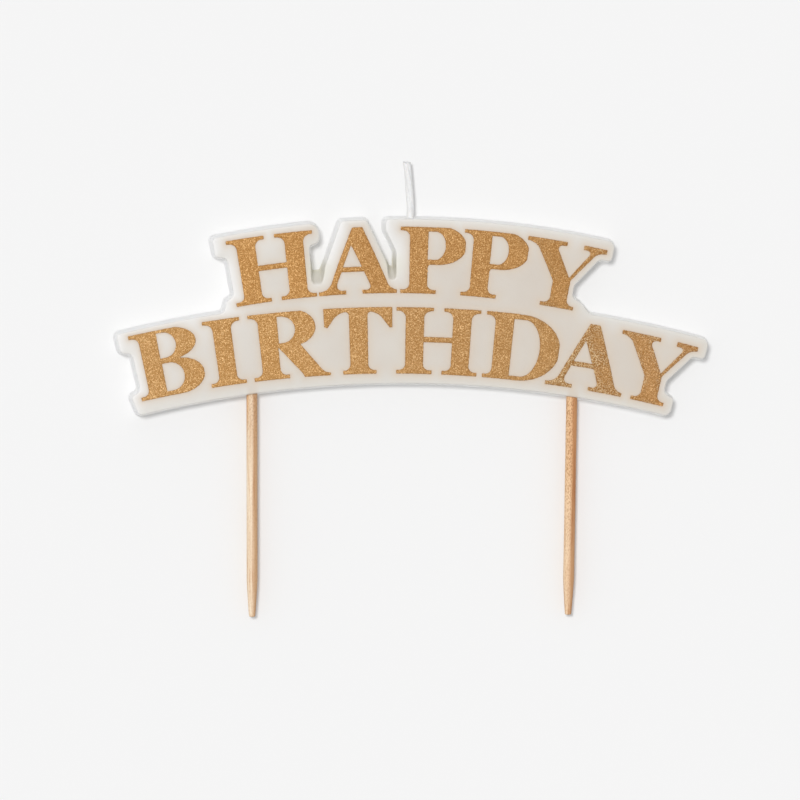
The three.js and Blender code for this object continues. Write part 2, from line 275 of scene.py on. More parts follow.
def plaque_rings():
    """The loops of the plaque from its back to its front; the notch floors slope down towards the front."""
    normals = inward(outline)
    slopes = np.column_stack([np.zeros(len(outline)), -NOTCH_SLOPE * notch_shares(outline)])

    def ring(inset, y):
        forward = (back_y - y) / (back_y - front_y)
        return [outline + normals * inset + slopes * forward ** NOTCH_CURVE], y

    rings = []
    for step in range(BACK_STEPS):
        turn = math.pi / 2 * step / BACK_STEPS
        rings.append(ring(BACK_ROUND * (1 - math.sin(turn)), back_y - BACK_ROUND * (1 - math.cos(turn))))
    for step in range(LIP_STEPS + 1):
        turn = math.pi / 2 * step / LIP_STEPS
        rings.append(ring(LIP_REACH * (1 - math.cos(turn)), back_y - LIP_DEPTH - LIP_FALL * math.sin(turn)))
    wall_back = back_y - LIP_DEPTH - LIP_FALL
    wall_front = front_y + FRONT_ROUND
    for step in range(1, WALL_STEPS + 1):
        share = step / WALL_STEPS
        rings.append(ring(LIP_REACH + WALL_DRAFT * share, wall_back + (wall_front - wall_back) * share))
    for step in range(1, FRONT_STEPS + 1):
        turn = math.pi / 2 * step / FRONT_STEPS
        inset = LIP_REACH + WALL_DRAFT + FRONT_ROUND * (1 - math.cos(turn))
        rings.append(ring(inset, front_y + FRONT_ROUND * (1 - math.sin(turn))))
    return rings


def plaque_relief(x, z, end):
    """The slight waves of the two faces, which fade out towards the edge of the wax."""
    depth = min(1, plaque_tree.find((x, 0, z))[2] / RELIEF_REACH - RELIEF_MARGIN)
    place = Vector((x, 7 * end, z)) / FACE_WAVE_LENGTH
    wave = noise.noise(place) + 0.4 * noise.noise(place * 2.7)
    size = BACK_WAVE if end == 0 else -FACE_WAVE
    return -max(0, depth) * size * max(0, 0.7 + wave)


plaque_tree = kdtree.KDTree(len(outline))
for place, (x, z) in enumerate(outline):
    plaque_tree.insert((x, 0, z), place)
plaque_tree.balance()
plaque = plate("wax_plaque_body", plaque_rings(), (BACK_SPACING, FACE_SPACING), plaque_relief)
plaque_places = np.array([(vert.co.x, vert.co.z) for vert in plaque.data.vertices])
plaque_depths = np.array([vert.co.y for vert in plaque.data.vertices])
edge_gaps = np.array([plaque_tree.find((x, 0, z))[2] for x, z in plaque_places])
front_share = 1 - np.clip((plaque_depths - front_y) / RIM_DEPTH, 0, 1)


def edge_average(values, block=1500):
    """Values given along the outline, averaged for each point of the plaque, the nearest counting most."""
    averages = []
    for start in range(0, len(plaque_places), block):
        gaps = plaque_places[start:start + block, None, :] - outline[None, ::EDGE_SKIP, :]
        weights = 1 / ((gaps ** 2).sum(axis=2) + EDGE_BLUR ** 2) ** 2
        averages.append(weights @ values[::EDGE_SKIP] / weights.sum(axis=1))
    return np.concatenate(averages)


# Painted light and shade: how far each edge of the wax faces the lamp, for paler front edges and lit or
# shaded walls
outline_facing = inward(outline) @ TOWARDS_LAMP
lit_edge = edge_average(np.clip(outline_facing * LIT_GAIN, 0, 1)) * np.exp(-(edge_gaps / LIT_RIM_REACH) ** 2)
near_edge = np.exp(-(np.maximum(0, edge_gaps - RIM_WIDTH) / RIM_WIDTH) ** 2)
# Painted light: the mask by which the wax pales towards its edges
add_attribute(plaque, "edge_fade", np.clip(edge_gaps / EDGE_FADE_WIDTH, 0, 1))
# Painted shade: the mask of the notch floors, where the wax slopes away from the light
valley_gaps = nearest(plaque_places, outline[notch_shares(outline) > 0.5])
valley = np.exp(-(valley_gaps / VALLEY_REACH) ** 2)
add_attribute(plaque, "valley", valley)
add_attribute(plaque, "lit_side", edge_average(np.clip(0.5 + SIDE_GAIN * outline_facing, 0, 1)))
add_attribute(plaque, "lit_rim", lit_edge * front_share)
add_attribute(plaque, "rim", (1 - front_share) * near_edge * (1 - valley))


def node_graph(material):
    material.use_nodes = True
    graph = material.node_tree
    surface = graph.nodes["Principled BSDF"]
    return graph, surface


def fill_inputs(graph, node, links):
    """Fills a node's inputs, given as (input, value or output socket)."""
    for key, value in links:
        if isinstance(value, bpy.types.NodeSocket):
            graph.links.new(value, node.inputs[key])
        else:
            node.inputs[key].default_value = value


def add_node(graph, kind, links=(), **settings):
    node = graph.nodes.new(kind)
    for key, value in settings.items():
        setattr(node, key, value)
    fill_inputs(graph, node, links)
    return node


def attribute(graph, name):
    return add_node(graph, "ShaderNodeAttribute", attribute_name=name).outputs["Fac"]


def object_place(graph):
    return add_node(graph, "ShaderNodeTexCoord").outputs["Object"]


def stretched(graph, place, scale, turn=(0, 0, 0)):
    links = [("Vector", place), ("Rotation", turn), ("Scale", scale)]
    return add_node(graph, "ShaderNodeMapping", links).outputs[0]


def computed(graph, operation, first, second):
    return add_node(graph, "ShaderNodeMath", [(0, first), (1, second)], operation=operation).outputs[0]


def noise_output(graph, vector, scale, detail=3.0, roughness=0.5):
    links = [("Vector", vector), ("Scale", scale), ("Detail", detail), ("Roughness", roughness)]
    return add_node(graph, "ShaderNodeTexNoise", links).outputs["Fac"]


def mixed(graph, share, first, second, blend="MIX"):
    links = [(0, share), (6, first), (7, second)]
    return add_node(graph, "ShaderNodeMix", links, data_type="RGBA", blend_type=blend).outputs[2]


def ranged(graph, value, low, high, to_low=0.0, to_high=1.0):
    links = [(0, value), (1, low), (2, high), (3, to_low), (4, to_high)]
    return add_node(graph, "ShaderNodeMapRange", links, clamp=True).outputs[0]


def ramp(graph, value, stops):
    node = add_node(graph, "ShaderNodeValToRGB", [("Fac", value)])
    elements = node.color_ramp.elements
    while len(elements) < len(stops):
        elements.new(0.5)
    for element, (place, colour) in zip(elements, stops):
        element.position = place
        element.color = colour
    return node.outputs["Color"]


def bumped(graph, height, distance, strength=1.0, normal=None):
    links = [("Height", height), ("Distance", distance), ("Strength", strength)]
    if normal is not None:
        links.append(("Normal", normal))
    return add_node(graph, "ShaderNodeBump", links).outputs["Normal"]


WAX_DEEP = (0.672, 0.624, 0.566, 1)
WAX_CLOUD = (0.702, 0.668, 0.615, 1)
# Painted light: the paler wax near the outline, where light comes through the edge
WAX_EDGE_GLOW = (0.705, 0.692, 0.655, 1)
# The walls' colour in a lit and a shaded copy: painted light and shade by the way each wall faces the lamp
WAX_RIM_LIT = (0.960, 0.957, 0.945, 1)
WAX_RIM_SHADE = (0.780, 0.760, 0.725, 1)
# Painted light: the paler wax of the left end and of the front edges that face the lamp
WAX_PAINTED_LIGHT = (0.850, 0.845, 0.835, 1)
# Painted shade in the floors of the notches
WAX_VALLEY_SHADE = (0.690, 0.655, 0.500, 1)
# Painted glow round the letters
WAX_GLOW = (0.690, 0.560, 0.430, 1)
# Painted shade: what the wax's right side is darkened by
WAX_RIGHT_SHADE = (0.955, 0.925, 0.895, 1)
PICK_TINT = (0.560, 0.400, 0.230, 1)
CLOUD_SCALE = 55.0
CLOUD_RANGE = (0.38, 0.66)
# From where to where across the plaque painted shade grows on the right, and painted light fades on the left
RIGHT_SHADE_RANGE = (-50 * MM, 60 * MM)
LEFT_LIGHT_RANGE = (-72 * MM, -30 * MM)
LEFT_LIGHT_SHARE = 0.25
GLOW_SHARE = 0.80
VALLEY_SHADE_SHARE = 0.45
GRAIN_SCALE = 2600.0
GRAIN_HEIGHT = 0.006 * MM
RIPPLE_SCALE = 420.0
RIPPLE_HEIGHT = 0.05 * MM
WAX_ROUGHNESS = (0.36, 0.50)
WAX_IOR = 1.43
# How far light travels in the wax, and how much of it does, on the face and at the rim
WAX_SCATTER = (1.0, 1.0, 0.97)
SCATTER_SHARE = (0.45, 1.0)
SCATTER_REACH = (1.2 * MM, 4 * MM)


def wax_material():
    material = bpy.data.materials.new("ivory_wax")
    graph, surface = node_graph(material)
    place = object_place(graph)
    rim = attribute(graph, "rim")
    clouds = noise_output(graph, place, CLOUD_SCALE, 2.0)
    body = mixed(graph, ranged(graph, clouds, *CLOUD_RANGE), WAX_DEEP, WAX_CLOUD)
    across = add_node(graph, "ShaderNodeSeparateXYZ", [(0, place)]).outputs["X"]
    # Painted shade: the wax darkens towards the right, away from the lamp
    body = mixed(graph, ranged(graph, across, *RIGHT_SHADE_RANGE), body, WAX_RIGHT_SHADE, "MULTIPLY")
    # Painted light: the wax pales towards its edges
    body = mixed(graph, attribute(graph, "edge_fade"), WAX_EDGE_GLOW, body)
    # Painted light: the left end of the wax is paler
    body = mixed(graph, ranged(graph, across, *LEFT_LIGHT_RANGE, LEFT_LIGHT_SHARE, 0.0), body, WAX_PAINTED_LIGHT)
    # Painted light on the front near the edges that face the lamp
    body = mixed(graph, attribute(graph, "lit_rim"), body, WAX_PAINTED_LIGHT)
    # Painted glow: the wax round the letters is tinted warm
    glow = ranged(graph, attribute(graph, "letter_glow"), 0.0, 1.0, 0.0, GLOW_SHARE)
    body = mixed(graph, glow, body, WAX_GLOW)
    # Painted shade: the wax is darker and warmer in the notch floors
    valley = ranged(graph, attribute(graph, "valley"), 0.0, 1.0, 0.0, VALLEY_SHADE_SHARE)
    body = mixed(graph, valley, body, WAX_VALLEY_SHADE)
    # The walls: painted light where they face the lamp, painted shade where they face away
    body = mixed(graph, rim, body, mixed(graph, attribute(graph, "lit_side"), WAX_RIM_SHADE, WAX_RIM_LIT))
    body = mixed(graph, attribute(graph, "pick_tint"), body, PICK_TINT)
    grain = noise_output(graph, place, GRAIN_SCALE, 2.0)
    ripples = noise_output(graph, place, RIPPLE_SCALE, 3.0)
    normal = bumped(graph, ripples, RIPPLE_HEIGHT, 0.5)
    fill_inputs(graph, surface, [
        ("Base Color", body), ("IOR", WAX_IOR), ("Subsurface Radius", WAX_SCATTER),
        ("Roughness", ranged(graph, ripples, 0.3, 0.7, *WAX_ROUGHNESS)),
        ("Normal", bumped(graph, grain, GRAIN_HEIGHT, 0.4, normal)),
        ("Subsurface Weight", ranged(graph, rim, 0.0, 1.0, *SCATTER_SHARE)),
        ("Subsurface Scale", ranged(graph, rim, 0.0, 1.0, *SCATTER_REACH)),
    ])
    return material


wax = wax_material()
plaque.data.materials.append(wax)
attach(plaque, "root")
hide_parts("wax_plaque")


# The greeting's thirteen letters: films of gold glitter that lie in the face of the wax, in two arched rows.
# They are plain bold capitals drawn from strokes: upright stems, thin bars, round bowls and bracketed serifs.
# Each letter is drawn upright, with u to the right and v up in millimetres, then bent onto its row's arc.
CAP_HEIGHT = 16.8
STEM = 4.5
SERIF = 0.9
FOOT = 0.95
OVERHANG = 2.25
HEAD_BRACKET = 1.8
FOOT_BRACKET = 1.55
DRAWING_STEP = 0.08
LETTER_SINK = 0.25 * MM
LETTER_RISE = 0.05 * MM
LETTER_EDGE = 0.05 * MM
LETTER_RAGGED = 0.06 * MM
LETTER_SPACING = 0.12 * MM
LETTER_ROUNDING = 0.07 * MM
RAGGED_SCALE = 2600
# The least area of a closed outline, in square millimetres
LEAST_LOOP = 0.2
FILM_SPACING = 0.6 * MM


def bar(u, v, u0, u1, v0, v1):
    across = np.maximum(u0 - u, u - u1)
    up = np.maximum(v0 - v, v - v1)
    outside = np.hypot(np.maximum(across, 0), np.maximum(up, 0))
    return outside + np.minimum(np.maximum(across, up), 0)


def blade(u, v, corners):
    """A stroke with straight sides, from its corners in counterclockwise order."""
    distance = np.full_like(u, -1e3)
    for (u0, v0), (u1, v1) in zip(corners, corners[1:] + corners[:1]):
        length = math.hypot(u1 - u0, v1 - v0)
        distance = np.maximum(distance, ((v1 - v0) * (u - u0) - (u1 - u0) * (v - v0)) / length)
    return distance


def bowl(u, v, u0, u_round, u1, v0, v1):
    """A bowl: straight from u0 to u_round, then half an ellipse that ends at u1."""
    middle, half = (v0 + v1) / 2, (v1 - v0) / 2
    width = u1 - u_round
    round_part = np.hypot(np.maximum(u - u_round, 0) / width, (v - middle) / half)
    return np.maximum((round_part - 1) * min(width, half), u0 - u)


def joined(*parts):
    return np.minimum.reduce(parts)


def bracketed(first, second, size):
    """Two strokes joined, with a hollow curve of that size where they meet."""
    corner = np.hypot(np.maximum(size - first, 0), np.maximum(size - second, 0))
    return np.maximum(size, np.minimum(first, second)) - corner


def without(shape, hole):
    return np.maximum(shape, -hole)


def serif_stem(u, v, u0, foot_left=OVERHANG, foot_right=OVERHANG, head_right=OVERHANG):
    """An upright stem with its serifs at head and foot."""
    stem = bar(u, v, u0, u0 + STEM, 0, CAP_HEIGHT)
    head = bar(u, v, u0 - OVERHANG, u0 + STEM + head_right, CAP_HEIGHT - SERIF, CAP_HEIGHT)
    foot = bar(u, v, u0 - foot_left, u0 + STEM + foot_right, 0, FOOT)
    return bracketed(bracketed(stem, head, HEAD_BRACKET), foot, FOOT_BRACKET)


def letter_a(u, v):
    thin = blade(u, v, [(2.1, 0), (3.7, 0), (10.45, 17), (9.1, 17)])
    thick = blade(u, v, [(14, 0), (18.5, 0), (11.35, 17), (6.6, 17)])
    above = blade(u, v, [(2.3, 0), (30, 0), (30, 17), (9.1, 17)])
    crossbar = np.maximum(bar(u, v, 4, 15, 5.6, 6.85), above)
    left_foot = bracketed(thin, bar(u, v, 0, 6.9, 0, FOOT), 1.9)
    right_foot = bracketed(np.maximum(thick, above), bar(u, v, 11, 19.7, 0, FOOT), 1.5)
    return joined(left_foot, right_foot, crossbar)


def letter_b(u, v):
    stem = serif_stem(u, v, 2.45, foot_right=1, head_right=1)
    upper = bowl(u, v, 3, 9.5, 16.1, 8.85, 17)
    lower = bowl(u, v, 3, 10.7, 17.05, 0, 9)
    counters = joined(bowl(u, v, 6.85, 8.2, 11.2, 9.6, 16), bowl(u, v, 6.95, 8.55, 12, 1.15, 8.25))
    return without(joined(stem, upper, lower), counters)


def letter_d(u, v):
    counter = bowl(u, v, 6.85, 9.6, 13.8, 1.05, 15.4)
    shape = joined(serif_stem(u, v, 2.35, foot_right=1, head_right=1), bowl(u, v, 3, 8.9, 18.85, 0, 16.7))
    return without(shape, counter)


def letter_h(u, v):
    crossbar = bar(u, v, 5, 16, 8.05, 9.4)
    return joined(serif_stem(u, v, 2.35), serif_stem(u, v, 13.85), crossbar)


def letter_i(u, v):
    return serif_stem(u, v, 2.35)


def letter_p(u, v):
    counter = bowl(u, v, 6.75, 8.6, 11, 8.6, 15.7)
    outer = bowl(u, v, 3, 9.25, 16.0, 7.35, 17.2)
    shape = bracketed(serif_stem(u, v, 2.35, head_right=1), outer, 0.8)
    return without(shape, counter)


def letter_r(u, v):
    counter = bowl(u, v, 7.2, 8.1, 11.4, 9, 15.7)
    outer = bowl(u, v, 3, 11, 16.4, 8.2, 17.1)
    leg = blade(u, v, [(13.3, 0), (18.7, 0), (11.2, 10.0), (6.2, 8.9)])
    toe = bar(u, v, 13.4, 19.9, 0, 0.7)
    shape = joined(serif_stem(u, v, 2.5, head_right=1), outer, bracketed(leg, toe, 1.1))
    return without(shape, counter)


def letter_t(u, v):
    stem = bracketed(bar(u, v, 6.1, 10.6, 0, 17), bar(u, v, 4.2, 12.65, 0, FOOT), FOOT_BRACKET)
    arms = bar(u, v, 0, 16.7, 15.8, 17)
    left = blade(u, v, [(0, 12.2), (0.8, 11.9), (4.0, 16.4), (0, 16.4)])
    right = blade(u, v, [(15.9, 11.7), (16.7, 11.7), (16.7, 16.4), (12.5, 16.4)])
    arms = bracketed(bracketed(arms, left, 1.7), right, 1.7)
    return bracketed(stem, arms, 1.1)


def letter_y(u, v):
    stem = bar(u, v, 7.5, 11.8, 0, 7.4)
    thick = blade(u, v, [(7.9, 5.9), (11.7, 7.3), (6.5, 16.5), (1.65, 16.5)])
    thin = blade(u, v, [(10.15, 6.0), (11, 6.1), (17.6, 16.3), (16.4, 16.6)])
    left = bracketed(thick, bar(u, v, 0, 9.5, 15.75, 17), 1.6)
    right = bracketed(thin, bar(u, v, 13.5, 19.2, 15.6, 17), 1.3)
    foot = bracketed(stem, bar(u, v, 5.2, 13.8, 0, FOOT), FOOT_BRACKET)
    return joined(left, right, foot)


# Where each row's arc lies, where along it each letter begins, counted from the crest, how wide the letter is
# and how thinly its glitter lies, from 0 to 1
UPPER_ROW = {"radius": 229.1, "crest": (-5, 81.95)}
LOWER_ROW = {"radius": 287.1, "crest": (-6.2, 61.6)}
LETTERS = [
    ("h", letter_h, UPPER_ROW, -39.5, 20.6, 0), ("a", letter_a, UPPER_ROW, -18.4, 19.7, 0.04),
    ("p", letter_p, UPPER_ROW, 2.05, 15.8, 0), ("p", letter_p, UPPER_ROW, 17.3, 15.7, 0.04),
    ("y", letter_y, UPPER_ROW, 32.5, 19.1, 0.15), ("b", letter_b, LOWER_ROW, -62.7, 17.0, 0),
    ("i", letter_i, LOWER_ROW, -44.65, 9.1, 0), ("r", letter_r, LOWER_ROW, -33.8, 19.6, 0),
    ("t", letter_t, LOWER_ROW, -15.3, 16.6, 0), ("h", letter_h, LOWER_ROW, 2.2, 20.5, 0),
    ("d", letter_d, LOWER_ROW, 24, 18.6, 0.05), ("a", letter_a, LOWER_ROW, 40.2, 19.7, 0.7),
    ("y", letter_y, LOWER_ROW, 57.1, 18.7, 0.2),
]

# For each way that a square's four corners can lie in or out of a shape, the sides that its edge runs from
# and to. The sides are counted from the bottom one, counterclockwise, and the shape lies on the left.
EDGE_RUNS = {
    1: [(0, 3)], 2: [(1, 0)], 3: [(1, 3)], 4: [(2, 1)], 5: [(0, 1), (2, 3)], 6: [(2, 0)], 7: [(2, 3)],
    8: [(3, 2)], 9: [(0, 2)], 10: [(1, 2), (3, 0)], 11: [(1, 2)], 12: [(3, 1)], 13: [(0, 1)], 14: [(3, 0)],
}


def drawn_loops(shape, width):
    """The closed outlines of a drawn letter, in millimetres, with the letter on their left."""
    us = np.arange(-1, width + 1, DRAWING_STEP)
    vs = np.arange(-1, CAP_HEIGHT + 1, DRAWING_STEP)
    u, v = np.meshgrid(us, vs)
    field = np.maximum(shape(u, v), bar(u, v, 0, width, 0, CAP_HEIGHT)) + 1e-9
    is_in = field < 0
    case = is_in[:-1, :-1] + 2 * is_in[:-1, 1:] + 4 * is_in[1:, 1:] + 8 * is_in[1:, :-1]
    corners = ((0, 0), (0, 1), (1, 1), (1, 0))
    follows = {}
    places = {}
    for row, column in zip(*np.nonzero((case > 0) & (case < 15))):
        sides = []
        for side in range(4):
            (r0, c0), (r1, c1) = corners[side], corners[(side + 1) % 4]
            first, second = sorted(((row + r0, column + c0), (row + r1, column + c1)))
            a, b = field[first], field[second]
            if (a < 0) != (b < 0):
                share = a / (a - b)
                places[first, second] = (
                    us[first[1]] + share * (us[second[1]] - us[first[1]]),
                    vs[first[0]] + share * (vs[second[0]] - vs[first[0]]),
                )
            sides.append((first, second))
        for start, end in EDGE_RUNS[int(case[row, column])]:
            follows[sides[start]] = sides[end]
    loops = []
    while follows:
        start, here = follows.popitem()
        loop = [start]
        while here != start:
            loop.append(here)
            here = follows.pop(here)
        loops.append(np.array([places[key] for key in loop]))
    return [loop for loop in loops if abs(loop_area(loop)) > LEAST_LOOP]


def bent(loop, row, start):
    """A loop in letter millimetres, bent onto its row's arc, in metres."""
    angle = (start + loop[:, 0]) / row["radius"]
    reach = row["radius"] + loop[:, 1]
    x = row["crest"][0] + reach * np.sin(angle)
    z = row["crest"][1] - row["radius"] + reach * np.cos(angle)
    return np.column_stack([x, z]) * MM


def ragged(loop, seed):
    """The grainy edge that the glitter leaves: small steps in and out along the loop."""
    normals = inward(loop)
    steps = [noise.noise(Vector((x * RAGGED_SCALE, z * RAGGED_SCALE, seed))) for x, z in loop]
    return loop + normals * (np.array(steps) * LETTER_RAGGED)[:, None]


def letter_loops(shape, row, start, width, seed):
    loops = []
    for loop in drawn_loops(shape, width):
        loop = spaced(bent(loop, row, start), LETTER_SPACING)
        loops.append(ragged(softened(loop, LETTER_SPACING, LETTER_ROUNDING), seed))
    return sorted(loops, key=lambda loop: -abs(loop_area(loop)))


RIM_REACH = 0.7 * MM
SPARSE_FROM = 22 * MM
SPARSE_TO = 66 * MM
FLAKE_SIZE = 0.125 * MM
FLAKE_THICKNESS = 0.025 * MM
FLAKE_GAP = 0.19 * MM
FLAKE_TILT = 0.20
FLAKE_TURN = 6.28
FLAKE_SIZES = (0.65, 1.25)
FLAKE_TONES = (0.15, 1.0)
FLAKES_AT_MOST = 6.0e7
FRONT_FACING = -0.8
# How thinly the glitter lies at a rim on the left, what that grows by to the right, and the most anywhere
SPARSE_RIM = 0.06
SPARSE_GROWTH = 0.74
SPARSE_LIMIT = 0.8
PATCH_SCALE = 260


def flake_tree():
    """Strews six-sided flakes over the front of a film, each with a tilt and a tone of its own."""
    tree = bpy.data.node_groups.new("strewn_flakes", "GeometryNodeTree")
    numbers = [(name, "Float") for name in ("Flake Radius", "Flake Thickness", "Flake Gap", "Tilt")]
    for name, kind in [("Film", "Geometry"), *numbers, ("Seed", "Int"), ("Material", "Material")]:
        tree.interface.new_socket(name, in_out="INPUT", socket_type="NodeSocket" + kind)
    tree.interface.new_socket("Film", in_out="OUTPUT", socket_type="NodeSocketGeometry")
    given = tree.nodes.new("NodeGroupInput").outputs

    def add(kind, links=(), **settings):
        return add_node(tree, kind, links, **settings)

    def random_between(limits, seed):
        links = [(2, limits[0]), (3, limits[1]), ("Seed", seed)]
        return add("FunctionNodeRandomValue", links, data_type="FLOAT").outputs[1]

    normal = add("GeometryNodeInputNormal").outputs[0]
    across = add("ShaderNodeSeparateXYZ", [(0, normal)]).outputs["Y"]
    is_front = add("FunctionNodeCompare", [(0, across), (1, FRONT_FACING)], operation="LESS_THAN").outputs[0]
    cover = add("GeometryNodeInputNamedAttribute", [("Name", "cover")], data_type="FLOAT")
    strewn = add(
        "GeometryNodeDistributePointsOnFaces",
        [("Mesh", given["Film"]), ("Selection", is_front), ("Distance Min", given["Flake Gap"]),
         ("Density Max", FLAKES_AT_MOST), ("Density Factor", cover.outputs["Attribute"]),
         ("Seed", given["Seed"])],
        distribute_method="POISSON",
    )
    flake = add(
        "GeometryNodeMeshCylinder",
        [("Vertices", 6), ("Radius", given["Flake Radius"]), ("Depth", given["Flake Thickness"])],
    )
    tilt = given["Tilt"]
    low = computed(tree, "MULTIPLY", tilt, -1.0)
    least = add("ShaderNodeCombineXYZ", [("X", low), ("Y", low), ("Z", 0.0)]).outputs[0]
    most = add("ShaderNodeCombineXYZ", [("X", tilt), ("Y", tilt), ("Z", FLAKE_TURN)]).outputs[0]
    limits = [(0, least), (1, most), ("Seed", given["Seed"])]
    lean = add("FunctionNodeRandomValue", limits, data_type="FLOAT_VECTOR").outputs[0]
    placed = add(
        "GeometryNodeInstanceOnPoints",
        [("Points", strewn.outputs["Points"]), ("Instance", flake.outputs["Mesh"]),
         ("Rotation", strewn.outputs["Rotation"]), ("Scale", random_between(FLAKE_SIZES, 11))],
    ).outputs[0]
    leaning = add("GeometryNodeRotateInstances", [("Instances", placed), ("Rotation", lean)]).outputs[0]
    toned = add(
        "GeometryNodeStoreNamedAttribute",
        [("Geometry", leaning), ("Name", "tone"), ("Value", random_between(FLAKE_TONES, 29))],
        data_type="FLOAT", domain="INSTANCE",
    ).outputs[0]
    both = tree.nodes.new("GeometryNodeJoinGeometry")
    tree.links.new(toned, both.inputs[0])
    tree.links.new(given["Film"], both.inputs[0])
    solid = add("GeometryNodeRealizeInstances", [(0, both.outputs[0])]).outputs[0]
    finished = add("GeometryNodeSetMaterial", [("Geometry", solid), ("Material", given["Material"])])
    end = tree.nodes.new("NodeGroupOutput")
    tree.links.new(finished.outputs[0], end.inputs[0])
    return tree


def set_inputs(modifier, **values):
    for item in modifier.node_group.interface.items_tree:
        name = item.name.lower().replace(" ", "_")
        if item.item_type == "SOCKET" and item.in_out == "INPUT" and name in values:
            modifier[item.identifier] = values[name]


def made_plain(piece):
    """The piece with its modifiers' result as its own plain mesh."""
    bpy.context.view_layer.update()
    graph = bpy.context.evaluated_depsgraph_get()
    mesh = bpy.data.meshes.new_from_object(piece.evaluated_get(graph))
    piece.modifiers.clear()
    piece.data = mesh
    return piece


GOLD_DARK = (0.375, 0.172, 0.040, 1)
GOLD_SHADE = (0.300, 0.130, 0.030, 1)
GOLD_BROWN = (0.510, 0.255, 0.079, 1)
GOLD = (0.640, 0.352, 0.129, 1)
GOLD_LIGHT = (0.810, 0.492, 0.213, 1)
BARE_WAX = (0.920, 0.700, 0.400, 1)
GOLD_LOWER_ROW = (1.020, 1.075, 1.200, 1)
LOWER_ROW_RANGE = (79.5 * MM, 77.5 * MM)
# Where across the plaque the gold's painted shade runs
GOLD_SHADE_RANGE = (-70 * MM, 70 * MM)
DRIFT_SCALE = 190.0
TONE_CHANGE = 0.06
BURNT_SCALE = 3100.0
BURNT_RANGE = (0.47, 0.54, 0.0, 1.6)
SPECK_SCALE = 5000.0
SPECK_RANGE = (0.54, 0.60, 0.0, 0.9)
GLITTER_ROUGHNESS = (0.66, 0.54)
GLITTER_METAL = 0.35
GLITTER_SHEEN = 0.3
# How the gold's colour changes from the left end to the right: painted shade that darkens it to the right
GOLD_PAINTED_SHADE = [
    (0.0, (0.995, 1.035, 1.060, 1)), (0.25, (1.00, 1.02, 1.00, 1)), (0.5, (0.905, 0.92, 0.93, 1)),
    (0.75, (0.885, 0.895, 0.88, 1)), (1.0, (0.885, 0.845, 0.80, 1)),
]


def glitter_material():
    material = bpy.data.materials.new("gold_glitter")
    graph, surface = node_graph(material)
    place = object_place(graph)
    tone = attribute(graph, "tone")
    bare = attribute(graph, "bare")
    drift = noise_output(graph, place, DRIFT_SCALE, 2.0)
    shifted = computed(graph, "ADD", tone, ranged(graph, drift, 0.3, 0.7, -TONE_CHANGE, TONE_CHANGE))
    stops = [(0.0, GOLD_DARK), (0.25, GOLD_BROWN), (0.6, GOLD), (1.0, GOLD_LIGHT)]
    colour = ramp(graph, shifted, stops)
    specks = ranged(graph, noise_output(graph, place, SPECK_SCALE, 1.0), *SPECK_RANGE)
    shade = ranged(graph, noise_output(graph, place, BURNT_SCALE, 1.0), *BURNT_RANGE)
    colour = mixed(graph, computed(graph, "MULTIPLY", bare, shade), colour, GOLD_SHADE)
    colour = mixed(graph, computed(graph, "MULTIPLY", bare, specks), colour, BARE_WAX)
    split = add_node(graph, "ShaderNodeSeparateXYZ", [(0, place)]).outputs
    # Painted shade: the gold darkens towards the right
    painted_shade = ramp(graph, ranged(graph, split["X"], *GOLD_SHADE_RANGE), GOLD_PAINTED_SHADE)
    colour = mixed(graph, 1.0, colour, painted_shade, "MULTIPLY")
    is_lower = ranged(graph, split["Z"], *LOWER_ROW_RANGE)
    fill_inputs(graph, surface, [
        ("Base Color", mixed(graph, is_lower, colour, GOLD_LOWER_ROW, "MULTIPLY")),
        ("Roughness", ranged(graph, tone, 0.0, 1.0, *GLITTER_ROUGHNESS)),
        ("Metallic", GLITTER_METAL), ("Specular IOR Level", GLITTER_SHEEN),
    ])
    return material


def sparseness(letter, loops, thinness):
    """How thinly the glitter lies at each point of a letter: most at the rims, and more so to the right."""
    places = np.array([(vert.co.x, vert.co.z) for vert in letter.data.vertices])
    rim = np.exp(-(nearest(places, np.vstack(loops)) / RIM_REACH) ** 2)
    rightward = np.clip((places[:, 0] - SPARSE_FROM) / (SPARSE_TO - SPARSE_FROM), 0, 1)
    patches = [0.75 + noise.noise(Vector((x * PATCH_SCALE, z * PATCH_SCALE, 3.3))) for x, z in places]
    thinned = rim * (SPARSE_RIM + SPARSE_GROWTH * rightward) + thinness
    return np.clip(thinned * np.array(patches), 0, SPARSE_LIMIT)


gold_glitter = glitter_material()
flakes = flake_tree()
film_back = front_y + LETTER_SINK
film_front = front_y - LETTER_RISE
film_profile = [(0, film_back), (0, film_front + LETTER_EDGE)]
film_profile += [(0.3, film_front + 0.3 * LETTER_EDGE), (1, film_front)]
letter_outlines = []
for index, (name, shape, row, start, width, thinness) in enumerate(LETTERS):
    loops = letter_loops(shape, row, start, width, index * 5.7)
    letter_outlines.append(loops)
    rings = []
    for inset, y in film_profile:
        rings.append(([loop + inward(loop) * inset * LETTER_EDGE for loop in loops], y))
    spacings = (FILM_SPACING, FILM_SPACING)
    letter = plate(f"letter_{index + 1:02d}_{name}", rings, spacings, lambda x, z, end: 0)
    sparse = sparseness(letter, loops, thinness)
    add_attribute(letter, "cover", 1 - sparse)
    add_attribute(letter, "bare", sparse)
    strewn = letter.modifiers.new("flakes", "NODES")
    strewn.node_group = flakes
    set_inputs(
        strewn, flake_radius=FLAKE_SIZE, flake_thickness=FLAKE_THICKNESS, flake_gap=FLAKE_GAP,
        tilt=FLAKE_TILT, seed=100 + index, material=gold_glitter,
    )
    made_plain(letter)
    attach(letter, "root")


